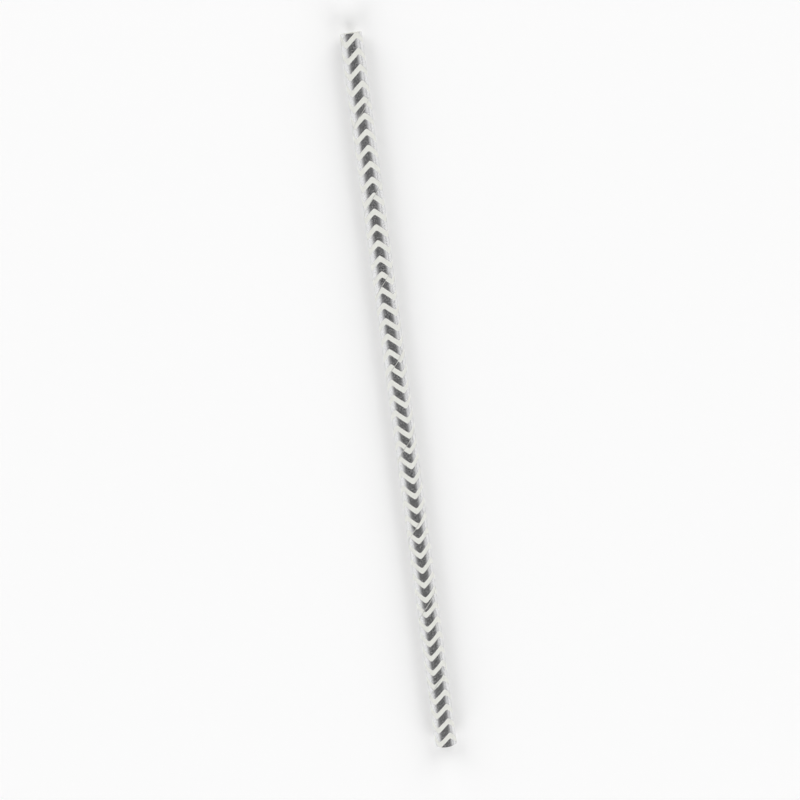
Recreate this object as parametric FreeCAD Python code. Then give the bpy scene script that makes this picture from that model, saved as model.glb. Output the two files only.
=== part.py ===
import FreeCAD, Part

import math
import os

# Straw, in millimetres
straw_length = 197.0
straw_radius = 3.0
wall_thickness = 0.42
rim_bevel = 0.05
rest_flat_width = 0.8

# Outer ply, wound in a right-handed helix that leaves a narrow open seam
ply_thickness = 0.12
seam_pitch = 22.5
seam_gap = 0.15
seam_start = 17.3

# Silver foil, stamped on the outer ply before it is wound
foil_thickness = 0.03
foil_clearance = 0.002
foil_end_margin = 0.05
zigzag_width = 6.43
zigzag_rise = 2.7
zigzag_start = 2.2
band_pitch = 4.2
band_height = 2.5
band_start = 1.5
column_lean = 0.016
facets_per_limb = 3
smallest_foil_area = 0.02

# Values that follow from the ones above
turn = 2.0 * math.pi * straw_radius
seam_run = turn / seam_pitch
limb_width = zigzag_width / 2.0
facet_width = limb_width / facets_per_limb
foil_inner_radius = straw_radius - foil_thickness
half_facet_angle = facet_width / straw_radius / 2.0
paper_radius = foil_inner_radius * math.cos(half_facet_angle) - foil_clearance
bore_radius = paper_radius - wall_thickness
groove_radius = paper_radius - ply_thickness
rest_flat_height = math.sqrt(paper_radius ** 2 - (rest_flat_width / 2.0) ** 2)
axis = FreeCAD.Vector(0, 0, 1)
centre = FreeCAD.Vector(0, 0, 0)


def seam_at(height):
    """Unrolled place of the seam's middle at a height along the straw."""
    return seam_start + height * seam_run


def clipped(polygon, a, b, c):
    """Part of a flat convex polygon where a * x + b * y is at most c."""
    kept = []
    for index, point in enumerate(polygon):
        before = polygon[index - 1]
        side = a * point[0] + b * point[1] - c
        side_before = a * before[0] + b * before[1] - c
        if (side > 0.0) != (side_before > 0.0):
            share = side_before / (side_before - side)
            x = before[0] + share * (point[0] - before[0])
            y = before[1] + share * (point[1] - before[1])
            kept.append((x, y))
        if side <= 0.0:
            kept.append(point)
    return kept


def area(polygon):
    """Area of a flat polygon."""
    total = 0.0
    for index, point in enumerate(polygon):
        before = polygon[index - 1]
        total += before[0] * point[1] - point[0] * before[1]
    return abs(total) / 2.0


def near_first_turn(polygon):
    """The same polygon, moved by whole turns to start within the first one."""
    middle = sum(point[0] for point in polygon) / len(polygon)
    shift = turn * math.floor(middle / turn)
    return [(point[0] - shift, point[1]) for point in polygon]


def rolled_skin(polygon, radius):
    """Edges and face of a flat polygon, rolled onto a cylinder."""
    surface = Part.Cylinder()
    surface.Radius = radius
    corners = [
        FreeCAD.Base.Vector2d(x / straw_radius, y) for x, y in near_first_turn(polygon)
    ]
    edges = [
        Part.Geom2d.Line2dSegment(corners[index - 1], end).toShape(surface)
        for index, end in enumerate(corners)
    ]
    return edges, Part.Face(surface, Part.Wire(Part.__sortEdges__(edges)))


def facet_skin(polygon, radius):
    """Edges and flat face of a polygon that lies within one facet's width."""
    middle = sum(point[0] for point in polygon) / len(polygon)
    facet = math.floor(middle / facet_width)
    angles = [number * facet_width / straw_radius for number in (facet, facet + 1)]
    corners = []
    for x, y in polygon:
        share = x / facet_width - facet
        across = (1.0 - share) * math.cos(angles[0]) + share * math.cos(angles[1])
        along = (1.0 - share) * math.sin(angles[0]) + share * math.sin(angles[1])
        corners.append(FreeCAD.Vector(radius * across, radius * along, y))
    edges = [
        Part.makeLine(corners[index - 1], end) for index, end in enumerate(corners)
    ]
    return edges, Part.Face(Part.Wire(Part.__sortEdges__(edges)))


def edge_name(start, end):
    """Name of an edge that both of its neighbours give alike."""
    names = [(round(p[0], 5), round(p[1], 5)) for p in (start, end)]
    return tuple(sorted(names))


def wrapped_solid(polygons, inner_radius, outer_radius, skin):
    """Solid between two radii, over flat polygons that join edge to edge."""
    uses = {}
    for polygon in polygons:
        for index, point in enumerate(polygon):
            name = edge_name(polygon[index - 1], point)
            uses[name] = uses.get(name, 0) + 1
    faces = []
    for polygon in polygons:
        inner_edges, inner_face = skin(polygon, inner_radius)
        outer_edges, outer_face = skin(polygon, outer_radius)
        faces += [inner_face, outer_face]
        for index, point in enumerate(polygon):
            if uses[edge_name(polygon[index - 1], point)] == 1:
                side = Part.makeRuledSurface(inner_edges[index], outer_edges[index])
                faces.append(side)
    shell = Part.makeShell(faces)
    shell.sewShape()
    solid = Part.makeSolid(shell)
    if solid.Volume < 0.0:
        solid.reverse()
    return solid


def row_height(row):
    """Height of a foil band's valleys on the unwound ply."""
    return band_start + row * band_pitch


def row_shift(row):
    """Distance by which a foil band is moved along, as its columns lean."""
    return zigzag_start + column_lean * row_height(row)


def lower_edge(place, row):
    """Height of a foil band's lower edge at a place along the band."""
    share = abs((place / limb_width) % 2.0 - 1.0)
    return row_height(row) + zigzag_rise * share


def foil_facet(facet, row):
    """One facet of a foil band, cut by the seam and the straw's ends."""
    left = facet * facet_width
    right = left + facet_width
    low_left = lower_edge(left, row)
    low_right = lower_edge(right, row)
    piece = [
        (left, low_left),
        (right, low_right),
        (right, low_right + band_height),
        (left, low_left + band_height),
    ]
    near_edge = seam_start - row_shift(row) + seam_gap / 2.0
    far_edge = near_edge + turn - seam_gap
    piece = clipped(piece, -1.0, seam_run, -near_edge)
    piece = clipped(piece, 1.0, -seam_run, far_edge)
    piece = clipped(piece, 0.0, -1.0, -foil_end_margin)
    piece = clipped(piece, 0.0, 1.0, straw_length - foil_end_margin)
    if len(piece) < 3 or area(piece) < smallest_foil_area:
        return None
    return piece


def foil_band(row):
    """Solids of one foil band, one for each run of joined facets."""
    solids = []
    run = []
    last_facet = int((seam_at(straw_length) + turn) / facet_width) + 2
    for number in range(-2, last_facet):
        facet = foil_facet(number, row)
        if facet:
            run.append(facet)
        elif run:
            solids.append(
                wrapped_solid(run, foil_inner_radius, straw_radius, facet_skin)
            )
            run = []
    for solid in solids:
        solid.rotate(centre, axis, math.degrees(row_shift(row) / straw_radius))
    return solids


def seam_strip():
    """The seam's gap on the unrolled ply, past both ends, in short lengths."""
    strip = []
    step = seam_pitch / 3.0
    first = -1.0
    while first < straw_length + 1.0:
        last = min(first + step, straw_length + 1.0)
        strip.append([
            (seam_at(first) - seam_gap / 2.0, first),
            (seam_at(first) + seam_gap / 2.0, first),
            (seam_at(last) + seam_gap / 2.0, last),
            (seam_at(last) - seam_gap / 2.0, last),
        ])
        first = last
    return strip


def rest_flat():
    """What the slight flat along the straw's underside takes off the round."""
    corner = FreeCAD.Vector(-straw_radius, rest_flat_height, -1.0)
    return Part.makeBox(2.0 * straw_radius, straw_radius, straw_length + 2.0, corner)


def paper_tube():
    """The glued paper wall, with the seam of its outer ply as a groove."""
    tube = Part.makeCylinder(paper_radius, straw_length, centre, axis)
    tube = tube.cut(Part.makeCylinder(bore_radius, straw_length, centre, axis))
    rims = [edge for edge in tube.Edges if isinstance(edge.Curve, Part.Circle)]
    tube = tube.makeChamfer(rim_bevel, rims)
    top_radius = straw_radius + ply_thickness
    groove = wrapped_solid(seam_strip(), groove_radius, top_radius, rolled_skin)
    return tube.cut(groove).cut(rest_flat())


def laid_down(shape):
    """The straw laid along Y, its lowest line on the ground at the origin."""
    shape.rotate(centre, FreeCAD.Vector(1, 0, 0), -90)
    shape.translate(FreeCAD.Vector(0, -straw_length / 2.0, straw_radius))
    return shape


paper = laid_down(paper_tube())
foil_solids = []
for row_number in range(-2, int(straw_length / band_pitch) + 2):
    foil_solids += foil_band(row_number)
foil = laid_down(Part.makeCompound(foil_solids))

os.makedirs("parts", exist_ok=True)
paper.exportStep("parts/paper_tube.step")
foil.exportStep("parts/silver_foil_chevrons.step")
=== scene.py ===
import math

import bpy
import numpy as np
from mathutils import Matrix, Vector


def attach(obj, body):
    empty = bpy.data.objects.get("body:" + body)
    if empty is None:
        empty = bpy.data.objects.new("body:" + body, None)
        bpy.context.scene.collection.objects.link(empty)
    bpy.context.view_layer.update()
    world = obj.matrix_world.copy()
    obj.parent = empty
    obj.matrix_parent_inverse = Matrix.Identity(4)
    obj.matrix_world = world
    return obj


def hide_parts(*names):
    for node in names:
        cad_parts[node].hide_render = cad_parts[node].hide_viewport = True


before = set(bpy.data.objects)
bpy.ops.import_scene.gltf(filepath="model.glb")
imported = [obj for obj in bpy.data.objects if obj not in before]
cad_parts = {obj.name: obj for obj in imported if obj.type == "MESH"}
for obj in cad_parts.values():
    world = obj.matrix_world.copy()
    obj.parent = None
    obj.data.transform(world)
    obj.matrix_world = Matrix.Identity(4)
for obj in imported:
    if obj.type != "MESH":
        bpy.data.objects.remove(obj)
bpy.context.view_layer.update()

MM = 0.001

# Straw, in millimetres
LENGTH = 197.0
AXIS_HEIGHT = 3.0
TURN = 2.0 * math.pi * AXIS_HEIGHT
PAPER_RADIUS = 2.93
BORE_RADIUS = 2.5
FOIL_RADIUS = 2.945
RIM_ROUND = 0.07

# Unevenness of the wound wall: height, waves round it, turn per millimetre, start
SLOW_WAVE = (0.006, 2.0, 0.021, 0.7)
PLY_WAVE = (0.003, 3.0, 0.11, 1.9)
PLY_WAVE_FADE = 0.057

# Open seam of the outer ply, a right-handed helix with slightly raised lips
SEAM_PITCH = 22.5
SEAM_RUN = TURN / SEAM_PITCH
SEAM_START = 17.3
SEAM_GAP = 0.13
SEAM_DEPTH = 0.11
RIBBON = TURN - SEAM_GAP
LIP_HEIGHT = 0.045
LIP_WIDTH = 0.15
BARE_EDGE = 0.12
# Painted shade: the grey that the seam groove's bottom is darkened to, in place of the shadow
# in the narrow gap
SEAM_SHADE_LEVEL = 0.3

# Steps of the wall's mesh
LIP_STEPS = (0.0, 0.02, 0.06, 0.14)
PLAIN_START = 0.3
PLAIN_COUNT = 88
GAP_STEPS = (0.12, 0.5, 0.88)
RIM_ANGLES = (0, 22, 45, 68, 90)
RING_COUNT = 460
BORE_STRIDE = 4

# Foil bands on the outer ply
ZIGZAG_WIDTH = 6.43
LIMB = ZIGZAG_WIDTH / 2.0
ZIGZAG_RISE = 2.7
FOLD_ROUND = 0.42
ZIGZAG_START = 2.2
BAND_PITCH = 4.2
BAND_HEIGHT = 2.5
BAND_START = 1.5
SPARE_BANDS = 2
COLUMN_LEAN = 0.016
FOIL_STEP = 0.13
SMALLEST_COLUMN = 0.004
END_MARGIN = 0.04

# Ragged edges of the bands: height and turn per millimetre along and up
RAGGED_WAVES = ((0.015, 9.1, 3.3), (0.011, 20.7, -1.0))
RAGGED_SWELL = (0.7, 0.37, 0.23)
LOWER_EDGE_START = 0.3
UPPER_EDGE_START = 2.1

# Across a foil band: most inset from an edge, its share of the span, and height
EDGE_PROFILE = ((0.0, 0.0, -0.02), (0.0, 0.0, -0.002), (0.03, 0.1, 0.0), (0.2, 0.3, 0.0))

# Noises over the unrolled straw: size per millimetre, stretch, detail
EVEN = (1.0, 1.0, 1.0)
PAPER_FIBRE = (3.0, (1.0, 0.45, 1.0), 6.0)
PAPER_GRAIN = (11.0, EVEN, 3.0)
FOIL_FLECK = (2.9, EVEN, 2.0)
FOIL_GRAIN = (7.5, EVEN, 3.0)
FOIL_PATCH = (1.1, EVEN, 3.0)
NOISE_ROUGHNESS = 0.6
NOISE_RANGE = (0.3, 0.7)

# Paper: colours, roughness, and bumps as strength and height in millimetres
PAPER_SHADE = (0.79, 0.791, 0.738)
PAPER_WHITE = (0.845, 0.844, 0.8)
PAPER_ROUGHNESS = (0.5, 0.68)
PAPER_SPECULAR = 0.35
FIBRE_BUMP = (0.35, 0.03)
PAPER_GRAIN_BUMP = (0.3, 0.01)

# Foil, bright up to the first noise value and dull from the second
FLECK_RANGE = (0.43, 0.63)
FOIL_BRIGHT = (0.8, 0.8, 0.81)
FOIL_DULL = (0.86, 0.86, 0.86)
DULL_METALLIC = 0.73
FOIL_ROUGHNESS = (0.17, 0.29)
FLECK_BUMP = (0.35, 0.03)
FOIL_GRAIN_BUMP = (0.3, 0.008)

# Floor
FLOOR_HALF = 3.0
FLOOR_LEVEL = 0.9
FLOOR_ROUGHNESS = 0.9
FLOOR_SPECULAR = 0.1
FLOOR_LIFT = 0.12

# Studio all round: brightness by height over the sides, from level to overhead
HORIZON_LEVEL = 0.9
ZENITH_LEVEL = 0.073
DARK_STRIP_STOPS = (
    (0.0, HORIZON_LEVEL),
    (0.33, HORIZON_LEVEL),
    (0.5, 0.72 * HORIZON_LEVEL),
    (0.7, 0.36 * HORIZON_LEVEL),
    (0.85, 1.15 * ZENITH_LEVEL),
    (1.0, ZENITH_LEVEL),
)
DARK_STRIP_LEAN = 6.0
DARK_STRIP_WIDENING = 0.24
WIDENING_Y = (-0.24, -0.09)
WIDENING_X = (0.1, 0.5)
FLAG_LEVEL = 0.25
FLAG_X = (0.3, 0.6)
FLAG_Z = (0.09, 0.16)
BACKDROP_LEVEL = 1.0

# Softboxes, in metres and watts
SOFTBOX_POWER = 35.8
SOFTBOX_SIZE = 2.1
SOFTBOX_PLACE = (1.35, 2.2, 1.55)

# Camera, in metres, millimetres of lens and degrees
CAMERA_PLACE = (0.0, 0.125, 0.600)
CAMERA_LEAN = 7.5
CAMERA_LENS = 102.0
CAMERA_SENSOR = 36.0
CAMERA_CLIP = (0.01, 20.0)


def seam_at(height):
    return SEAM_START + height * SEAM_RUN


def waviness(x, y):
    """Slight unevenness of the wound paper, in millimetres."""
    angle = x / AXIS_HEIGHT
    size, waves, turn, start = SLOW_WAVE
    slow = size * np.sin(waves * angle + y * turn + start)
    size, waves, turn, start = PLY_WAVE
    ply = size * np.sin(waves * angle - y * turn + start) * np.sin(y * PLY_WAVE_FADE)
    return slow + ply


def seam_lips(x, y):
    """Height of the outer ply's lifted edges beside its seam."""
    across = (x - seam_at(y) - SEAM_GAP / 2.0) % TURN
    across = np.where(across > TURN - SEAM_GAP / 2.0, 0.0, np.minimum(across, RIBBON))
    edges = np.exp(-across / LIP_WIDTH) + np.exp((across - RIBBON) / LIP_WIDTH)
    return LIP_HEIGHT * edges


def to_space(x, y, radius):
    """Points of the unrolled straw, wrapped round it and laid along Y."""
    angle = x / AXIS_HEIGHT
    return np.stack([
        radius * np.cos(angle) * MM,
        (y - LENGTH / 2.0) * MM,
        (AXIS_HEIGHT - radius * np.sin(angle)) * MM,
    ], axis=-1)


def build(name, points, quads, marks, flat=()):
    """A mesh piece with its unrolled place kept in a UV map, in millimetres."""
    mesh = bpy.data.meshes.new(name)
    mesh.from_pydata([tuple(p) for p in points], [], quads)
    layer = mesh.uv_layers.new(name="unrolled")
    index = np.empty(len(mesh.loops), dtype=np.int64)
    mesh.loops.foreach_get("vertex_index", index)
    layer.data.foreach_set("uv", marks[index].astype(np.float32).ravel())
    smooth = np.ones(len(quads), dtype=bool)
    smooth[list(flat)] = False
    mesh.polygons.foreach_set("use_smooth", smooth)
    mesh.update()
    piece = bpy.data.objects.new(name, mesh)
    bpy.context.scene.collection.objects.link(piece)
    return piece


def tube_section():
    """Round of the wall at one height: place across the ribbon and depth."""
    across = list(LIP_STEPS)
    across += list(np.linspace(PLAIN_START, RIBBON - PLAIN_START, PLAIN_COUNT))
    across += [RIBBON - step for step in reversed(LIP_STEPS)]
    depth = [0.0] * len(across)
    across += [RIBBON + share * SEAM_GAP for share in GAP_STEPS]
    depth += [SEAM_DEPTH] * len(GAP_STEPS)
    return np.array(across), np.array(depth)


def rim_steps():
    """Steps of a rounded rim, from its end face: distance from the end, and inset."""
    turns = [math.radians(angle) for angle in RIM_ANGLES]
    return [(RIM_ROUND * (1.0 - math.cos(t)), RIM_ROUND * (1.0 - math.sin(t))) for t in turns]


def paper_tube():
    """Wall of the straw with its open seam, rounded rims and bore."""
    across, depth = tube_section()
    in_gap = depth > 0.0
    count = len(across)
    rings = []

    def ring(height, radius, outside=False):
        x = seam_at(height) + SEAM_GAP / 2.0 + across
        local = radius + waviness(x, height)
        if outside:
            local = local + np.where(in_gap, -depth, seam_lips(x, height))
        # The last entry marks the groove's bottom, where painted seam shade darkens the paper
        rings.append((x, np.full(count, height), local, in_gap * float(outside)))

    heights = np.linspace(RIM_ROUND, LENGTH - RIM_ROUND, RING_COUNT)
    mid_wall = (BORE_RADIUS + PAPER_RADIUS) / 2.0
    ring(0.0, mid_wall)
    for from_end, inset in rim_steps():
        ring(from_end, PAPER_RADIUS - inset, outside=True)
    for height in heights[1:-1]:
        ring(height, PAPER_RADIUS, outside=True)
    for from_end, inset in reversed(rim_steps()):
        ring(LENGTH - from_end, PAPER_RADIUS - inset, outside=True)
    ring(LENGTH, mid_wall)
    for from_end, inset in rim_steps():
        ring(LENGTH - from_end, BORE_RADIUS + inset)
    for height in heights[::-BORE_STRIDE][1:-1]:
        ring(height, BORE_RADIUS)
    for from_end, inset in reversed(rim_steps()):
        ring(from_end, BORE_RADIUS + inset)

    x, y, radius, seam_shade_mask = (np.concatenate(part) for part in zip(*rings))
    quads = []
    for i in range(len(rings)):
        j = (i + 1) % len(rings)
        for k in range(count):
            m = (k + 1) % count
            quads.append((i * count + k, i * count + m, j * count + m, j * count + k))
    piece = build("paper_wall", to_space(x, y, radius), quads, np.stack([x, y], -1))
    # Mask for the painted shade in the seam's groove, 1 at its bottom
    painted_seam_shade = piece.data.attributes.new("painted_seam_shade", "FLOAT", "POINT")
    painted_seam_shade.data.foreach_set("value", seam_shade_mask.astype(np.float32))
    return piece


def zigzag(place):
    """Height of a band's edge at a place along it, its folds slightly rounded."""
    from_valley = LIMB * np.abs((place / LIMB) % 2.0 - 1.0)
    from_peak = LIMB - from_valley

    def rounded(distance):
        curve = (distance ** 2 / FOLD_ROUND + FOLD_ROUND) / 2.0
        return np.where(distance < FOLD_ROUND, curve, distance)

    lower_half = from_valley < LIMB / 2.0
    rise = np.where(lower_half, rounded(from_valley), LIMB - rounded(from_peak))
    return ZIGZAG_RISE / LIMB * rise


def band_columns(row):
    """Places along one foil band where its outline is worked out, folds and seam too."""
    height = BAND_START + row * BAND_PITCH
    shift = ZIGZAG_START + COLUMN_LEAN * height
    low = seam_at(height) - shift
    high = seam_at(height + ZIGZAG_RISE + BAND_HEIGHT) + TURN - shift
    places = list(np.arange(low - 0.5, high + 0.5, FOIL_STEP))
    near_edge = SEAM_START + SEAM_GAP / 2.0 + BARE_EDGE
    far_edge = SEAM_START + TURN - SEAM_GAP / 2.0
    for fold in range(math.floor((low - 1.0) / LIMB), math.ceil((high + 1.0) / LIMB) + 1):
        start, end = fold * LIMB, (fold + 1) * LIMB
        rising = fold % 2
        slope = ZIGZAG_RISE / LIMB * (1.0 if rising else -1.0)
        places.append(start)
        for edge in (0.0, BAND_HEIGHT):
            level = height + edge + (0.0 if rising else ZIGZAG_RISE)
            for seam in (near_edge, far_edge):
                line = (shift - seam) / SEAM_RUN
                cross = (line - level + slope * start) / (slope - 1.0 / SEAM_RUN)
                if start < cross < end:
                    places.append(cross)
    return np.unique(np.round(places, 5)), height, shift


def ragged(x, y, start):
    """Fine unevenness of a stamped edge, rougher in places, in millimetres."""
    fine = sum(size * np.sin(x * along + y * up + start) for size, along, up in RAGGED_WAVES)
    swell, along, up = RAGGED_SWELL
    return fine * (1.0 + swell * np.sin(x * along + y * up))


def across_band(bottom, top):
    """Points across a foil band at one column, from its lower edge up."""
    span = top - bottom
    rise = [(bottom + min(inset, share * span), lift) for inset, share, lift in EDGE_PROFILE]
    fall = [(top - min(inset, share * span), lift) for inset, share, lift in EDGE_PROFILE]
    return rise + [(bottom + span / 2.0, 0.0)] + fall[::-1]


def foil_bands():
    """Thin foil bands that follow the paper, cut at the seam and the ends."""
    points, quads, flat = [], [], []
    for row in range(-SPARE_BANDS, int(LENGTH / BAND_PITCH) + SPARE_BANDS):
        places, height, shift = band_columns(row)
        low = height + zigzag(places)
        high = low + BAND_HEIGHT
        low = low + ragged(places, height, LOWER_EDGE_START)
        high = high + ragged(places, height, UPPER_EDGE_START)
        x = places + shift
        near = (x - SEAM_GAP / 2.0 - BARE_EDGE - SEAM_START) / SEAM_RUN
        far = (x + SEAM_GAP / 2.0 - SEAM_START - TURN) / SEAM_RUN
        bottom = np.maximum(np.maximum(low, far), END_MARGIN)
        top = np.minimum(np.minimum(high, near), LENGTH - END_MARGIN)
        previous = None
        for k in range(len(x)):
            if top[k] - bottom[k] <= SMALLEST_COLUMN:
                previous = None
                continue
            base = len(points)
            points += [(x[k], y, lift) for y, lift in across_band(bottom[k], top[k])]
            rows = len(points) - base - 1
            if previous is not None:
                flat += [len(quads), len(quads) + rows - 1]
                for n in range(rows):
                    a, b = previous + n, base + n
                    quads.append((a, b, b + 1, a + 1))
            previous = base
    x, y, lift = np.array(points).T
    radius = FOIL_RADIUS + lift + waviness(x, y) + seam_lips(x, y)
    return build("foil_bands", to_space(x, y, radius), quads, np.stack([x, y], -1), flat)


def new_material(name):
    """A material, its node tree and its shader."""
    material = bpy.data.materials.new(name)
    material.use_nodes = True
    tree = material.node_tree
    return material, tree, tree.nodes["Principled BSDF"]


def link(tree, output, socket):
    tree.links.new(output, socket)


def calculate(tree, operation, *terms):
    """Result of a plain sum or product of linked values."""
    node = tree.nodes.new("ShaderNodeMath")
    node.operation = operation
    for term, socket in zip(terms, node.inputs):
        link(tree, term, socket)
    return node.outputs["Value"]


def unrolled_noise(tree, scale, stretch, detail):
    """Noise over the unrolled straw, scale per millimetre."""
    place = tree.nodes.new("ShaderNodeUVMap")
    place.uv_map = "unrolled"
    mapping = tree.nodes.new("ShaderNodeMapping")
    mapping.inputs["Scale"].default_value = stretch
    noise = tree.nodes.new("ShaderNodeTexNoise")
    noise.inputs["Scale"].default_value = scale
    noise.inputs["Detail"].default_value = detail
    noise.inputs["Roughness"].default_value = NOISE_ROUGHNESS
    link(tree, place.outputs["UV"], mapping.inputs["Vector"])
    link(tree, mapping.outputs["Vector"], noise.inputs["Vector"])
    return noise.outputs["Fac"]


def remap(tree, source, old, new):
    """Value taken from an old range to a new one, and held at its ends."""
    node = tree.nodes.new("ShaderNodeMapRange")
    node.inputs["From Min"].default_value = old[0]
    node.inputs["From Max"].default_value = old[1]
    node.inputs["To Min"].default_value = new[0]
    node.inputs["To Max"].default_value = new[1]
    link(tree, source, node.inputs["Value"])
    return node.outputs["Result"]


def colour_ramp(tree, source, stops):
    """Colour that goes through the stops, each a position and a colour."""
    node = tree.nodes.new("ShaderNodeValToRGB")
    elements = node.color_ramp.elements
    elements[0].position = stops[0][0]
    elements[1].position = stops[-1][0]
    for position, _ in stops[1:-1]:
        elements.new(position)
    for element, (position, colour) in zip(elements, stops):
        element.position = position
        element.color = (*colour, 1.0)
    link(tree, source, node.inputs["Fac"])
    return node.outputs["Color"]


def mixed(tree, share, first, level):
    """Colour between a linked one and a plain grey, by a share."""
    mix = tree.nodes.new("ShaderNodeMix")
    mix.data_type = "RGBA"
    mix.inputs["B"].default_value = (level, level, level, 1.0)
    link(tree, share, mix.inputs["Factor"])
    link(tree, first, mix.inputs["A"])
    return mix.outputs["Result"]


def bumps(tree, *layers):
    """Normal with bumps laid over each other, each a noise, strength and height."""
    normal = None
    for source, (strength, height) in layers:
        node = tree.nodes.new("ShaderNodeBump")
        node.inputs["Strength"].default_value = strength
        node.inputs["Distance"].default_value = height * MM
        link(tree, source, node.inputs["Height"])
        if normal is not None:
            link(tree, normal, node.inputs["Normal"])
        normal = node.outputs["Normal"]
    return normal


def paper_material():
    """White paper with soft fibres, and painted shade that turns it grey towards the bottom
    of the seam's groove.
    """
    material, tree, shader = new_material("white_paper")
    shader.inputs["Metallic"].default_value = 0.0
    shader.inputs["Specular IOR Level"].default_value = PAPER_SPECULAR
    fibre = unrolled_noise(tree, *PAPER_FIBRE)
    grain = unrolled_noise(tree, *PAPER_GRAIN)
    colour = colour_ramp(tree, fibre, list(zip(NOISE_RANGE, (PAPER_SHADE, PAPER_WHITE))))
    # Painted shade: the paper turns grey towards the bottom of the seam's groove
    seam = tree.nodes.new("ShaderNodeAttribute")
    seam.attribute_name = "painted_seam_shade"
    colour = mixed(tree, seam.outputs["Fac"], colour, SEAM_SHADE_LEVEL)
    link(tree, colour, shader.inputs["Base Color"])
    link(tree, remap(tree, grain, NOISE_RANGE, PAPER_ROUGHNESS), shader.inputs["Roughness"])
    normal = bumps(tree, (fibre, FIBRE_BUMP), (grain, PAPER_GRAIN_BUMP))
    link(tree, normal, shader.inputs["Normal"])
    return material


def foil_material():
    """Bright foil with tiny dull flecks where the paper's fibres show through."""
    material, tree, shader = new_material("silver_foil")
    fleck = unrolled_noise(tree, *FOIL_FLECK)
    grain = unrolled_noise(tree, *FOIL_GRAIN)
    patch = unrolled_noise(tree, *FOIL_PATCH)
    colour = colour_ramp(tree, fleck, list(zip(FLECK_RANGE, (FOIL_BRIGHT, FOIL_DULL))))
    link(tree, colour, shader.inputs["Base Color"])
    metallic = remap(tree, fleck, FLECK_RANGE, (1.0, DULL_METALLIC))
    link(tree, metallic, shader.inputs["Metallic"])
    link(tree, remap(tree, patch, NOISE_RANGE, FOIL_ROUGHNESS), shader.inputs["Roughness"])
    normal = bumps(tree, (fleck, FLECK_BUMP), (grain, FOIL_GRAIN_BUMP))
    link(tree, normal, shader.inputs["Normal"])
    return material


def floor_material():
    """Pale floor that looks near white, seen or mirrored, and keeps its shadows."""
    material, tree, shader = new_material("pale_floor")
    shader.inputs["Base Color"].default_value = (FLOOR_LEVEL, FLOOR_LEVEL, FLOOR_LEVEL, 1.0)
    shader.inputs["Roughness"].default_value = FLOOR_ROUGHNESS
    shader.inputs["Specular IOR Level"].default_value = FLOOR_SPECULAR
    shader.inputs["Emission Color"].default_value = (1.0, 1.0, 1.0, 1.0)
    rays = tree.nodes.new("ShaderNodeLightPath").outputs
    seen = calculate(tree, "MAXIMUM", rays["Is Camera Ray"], rays["Is Glossy Ray"])
    lift = remap(tree, seen, (0.0, 1.0), (0.0, FLOOR_LIFT))
    link(tree, lift, shader.inputs["Emission Strength"])
    return material


def make_floor():
    h = FLOOR_HALF
    mesh = bpy.data.meshes.new("floor")
    corners = [(-h, -h, 0.0), (h, -h, 0.0), (h, h, 0.0), (-h, h, 0.0)]
    mesh.from_pydata(corners, [], [(0, 1, 2, 3)])
    floor = bpy.data.objects.new("floor", mesh)
    bpy.context.scene.collection.objects.link(floor)
    mesh.materials.append(floor_material())


def vector_math(tree, operation, source, other=None):
    """Node that works on a linked vector and, where it takes one, a plain one."""
    node = tree.nodes.new("ShaderNodeVectorMath")
    node.operation = operation
    link(tree, source, node.inputs[0])
    if other is not None:
        node.inputs[1].default_value = other
    return node.outputs


def overhead_strip(tree, direction, x, y):
    """Dark along a strip over the straw, wider to the near right, bright sides."""
    lean = math.radians(DARK_STRIP_LEAN)
    pole = (-math.sin(lean), 0.0, math.cos(lean))
    across = vector_math(tree, "MULTIPLY", direction, (1.0, 0.0, 1.0))["Vector"]
    unit = vector_math(tree, "NORMALIZE", across)["Vector"]
    height = vector_math(tree, "DOT_PRODUCT", unit, pole)["Value"]
    near = remap(tree, y, WIDENING_Y, (1.0, 0.0))
    right = remap(tree, x, WIDENING_X, (0.0, DARK_STRIP_WIDENING))
    height = calculate(tree, "MULTIPLY_ADD", near, right, height)
    stops = [(position, (level, level, level)) for position, level in DARK_STRIP_STOPS]
    return colour_ramp(tree, height, stops)


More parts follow.
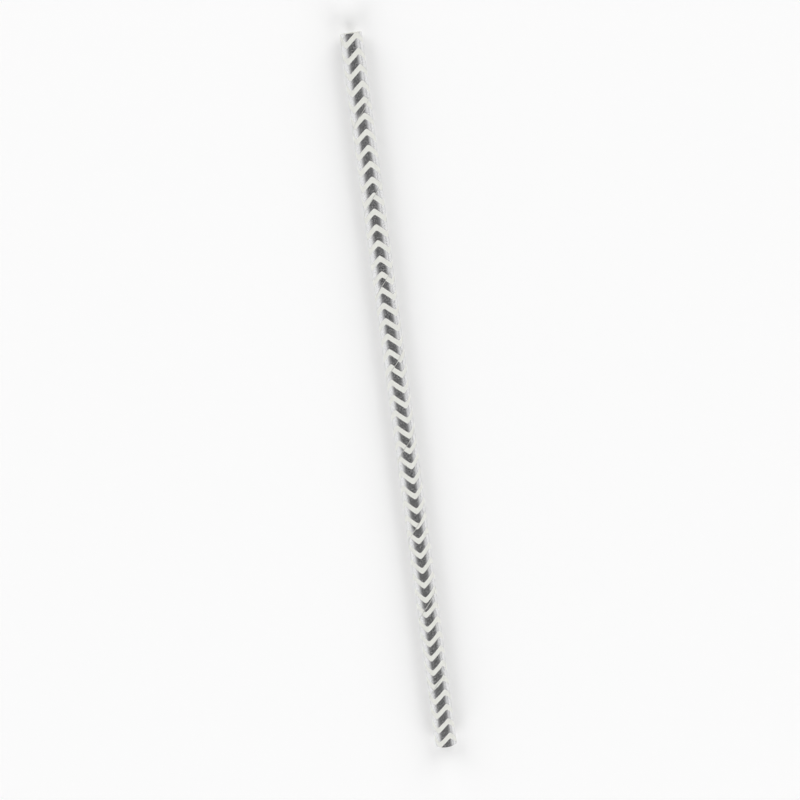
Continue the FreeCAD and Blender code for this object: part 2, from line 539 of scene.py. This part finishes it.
def make_world():
    """Studio all round: a dark strip overhead, bright sides, a low flag on the right."""
    world = bpy.data.worlds.new("studio")
    bpy.context.scene.world = world
    world.use_nodes = True
    tree = world.node_tree
    direction = tree.nodes.new("ShaderNodeTexCoord").outputs["Generated"]
    split = tree.nodes.new("ShaderNodeSeparateXYZ")
    link(tree, direction, split.inputs["Vector"])
    x, y, z = split.outputs
    right = remap(tree, x, FLAG_X, (0.0, 1.0))
    low = remap(tree, z, FLAG_Z, (1.0, 0.0))
    flag = calculate(tree, "MULTIPLY", right, low)
    studio = mixed(tree, flag, overhead_strip(tree, direction, x, y), FLAG_LEVEL)
    camera_ray = tree.nodes.new("ShaderNodeLightPath").outputs["Is Camera Ray"]
    background = tree.nodes["Background"]
    link(tree, mixed(tree, camera_ray, studio, BACKDROP_LEVEL), background.inputs["Color"])
    background.inputs["Strength"].default_value = 1.0


def softbox(name, place):
    """Large soft light that faces the straw, and which the foil doesn't mirror."""
    data = bpy.data.lights.new(name, "AREA")
    data.shape = "SQUARE"
    data.size = SOFTBOX_SIZE
    data.energy = SOFTBOX_POWER
    light = bpy.data.objects.new(name, data)
    light.location = place
    light.rotation_euler = Vector(place).to_track_quat("Z", "Y").to_euler()
    light.visible_camera = False
    light.visible_glossy = False
    bpy.context.scene.collection.objects.link(light)


def make_softboxes():
    """Four softboxes, high off the corners, that light the floor evenly."""
    x, y, z = SOFTBOX_PLACE
    softbox("box_right_far", (x, y, z))
    softbox("box_left_far", (-x, y, z))
    softbox("box_right_near", (x, -y, z))
    softbox("box_left_near", (-x, -y, z))


def make_camera():
    """Camera that looks down on the straw and leans as the photograph does."""
    data = bpy.data.cameras.new("camera")
    data.sensor_width = CAMERA_SENSOR
    data.lens = CAMERA_LENS
    data.clip_start, data.clip_end = CAMERA_CLIP
    camera = bpy.data.objects.new("camera", data)
    bpy.context.scene.collection.objects.link(camera)
    place = Vector(CAMERA_PLACE)
    target = Vector((0.0, 0.0, AXIS_HEIGHT * MM))
    back = (place - target).normalized()
    lean = math.radians(CAMERA_LEAN)
    up = Vector((math.sin(lean), math.cos(lean), 0.0))
    right = up.cross(back).normalized()
    up = back.cross(right)
    turn = Matrix((right, up, back)).transposed()
    camera.matrix_world = Matrix.Translation(place) @ turn.to_4x4()
    bpy.context.scene.camera = camera


wall = paper_tube()
wall.data.materials.append(paper_material())
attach(wall, "root")
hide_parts("paper_tube")

foil = foil_bands()
foil.data.materials.append(foil_material())
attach(foil, "root")
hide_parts("silver_foil_chevrons")

make_floor()
make_world()
make_softboxes()
make_camera()

bpy.context.scene.view_settings.view_transform = "Standard"
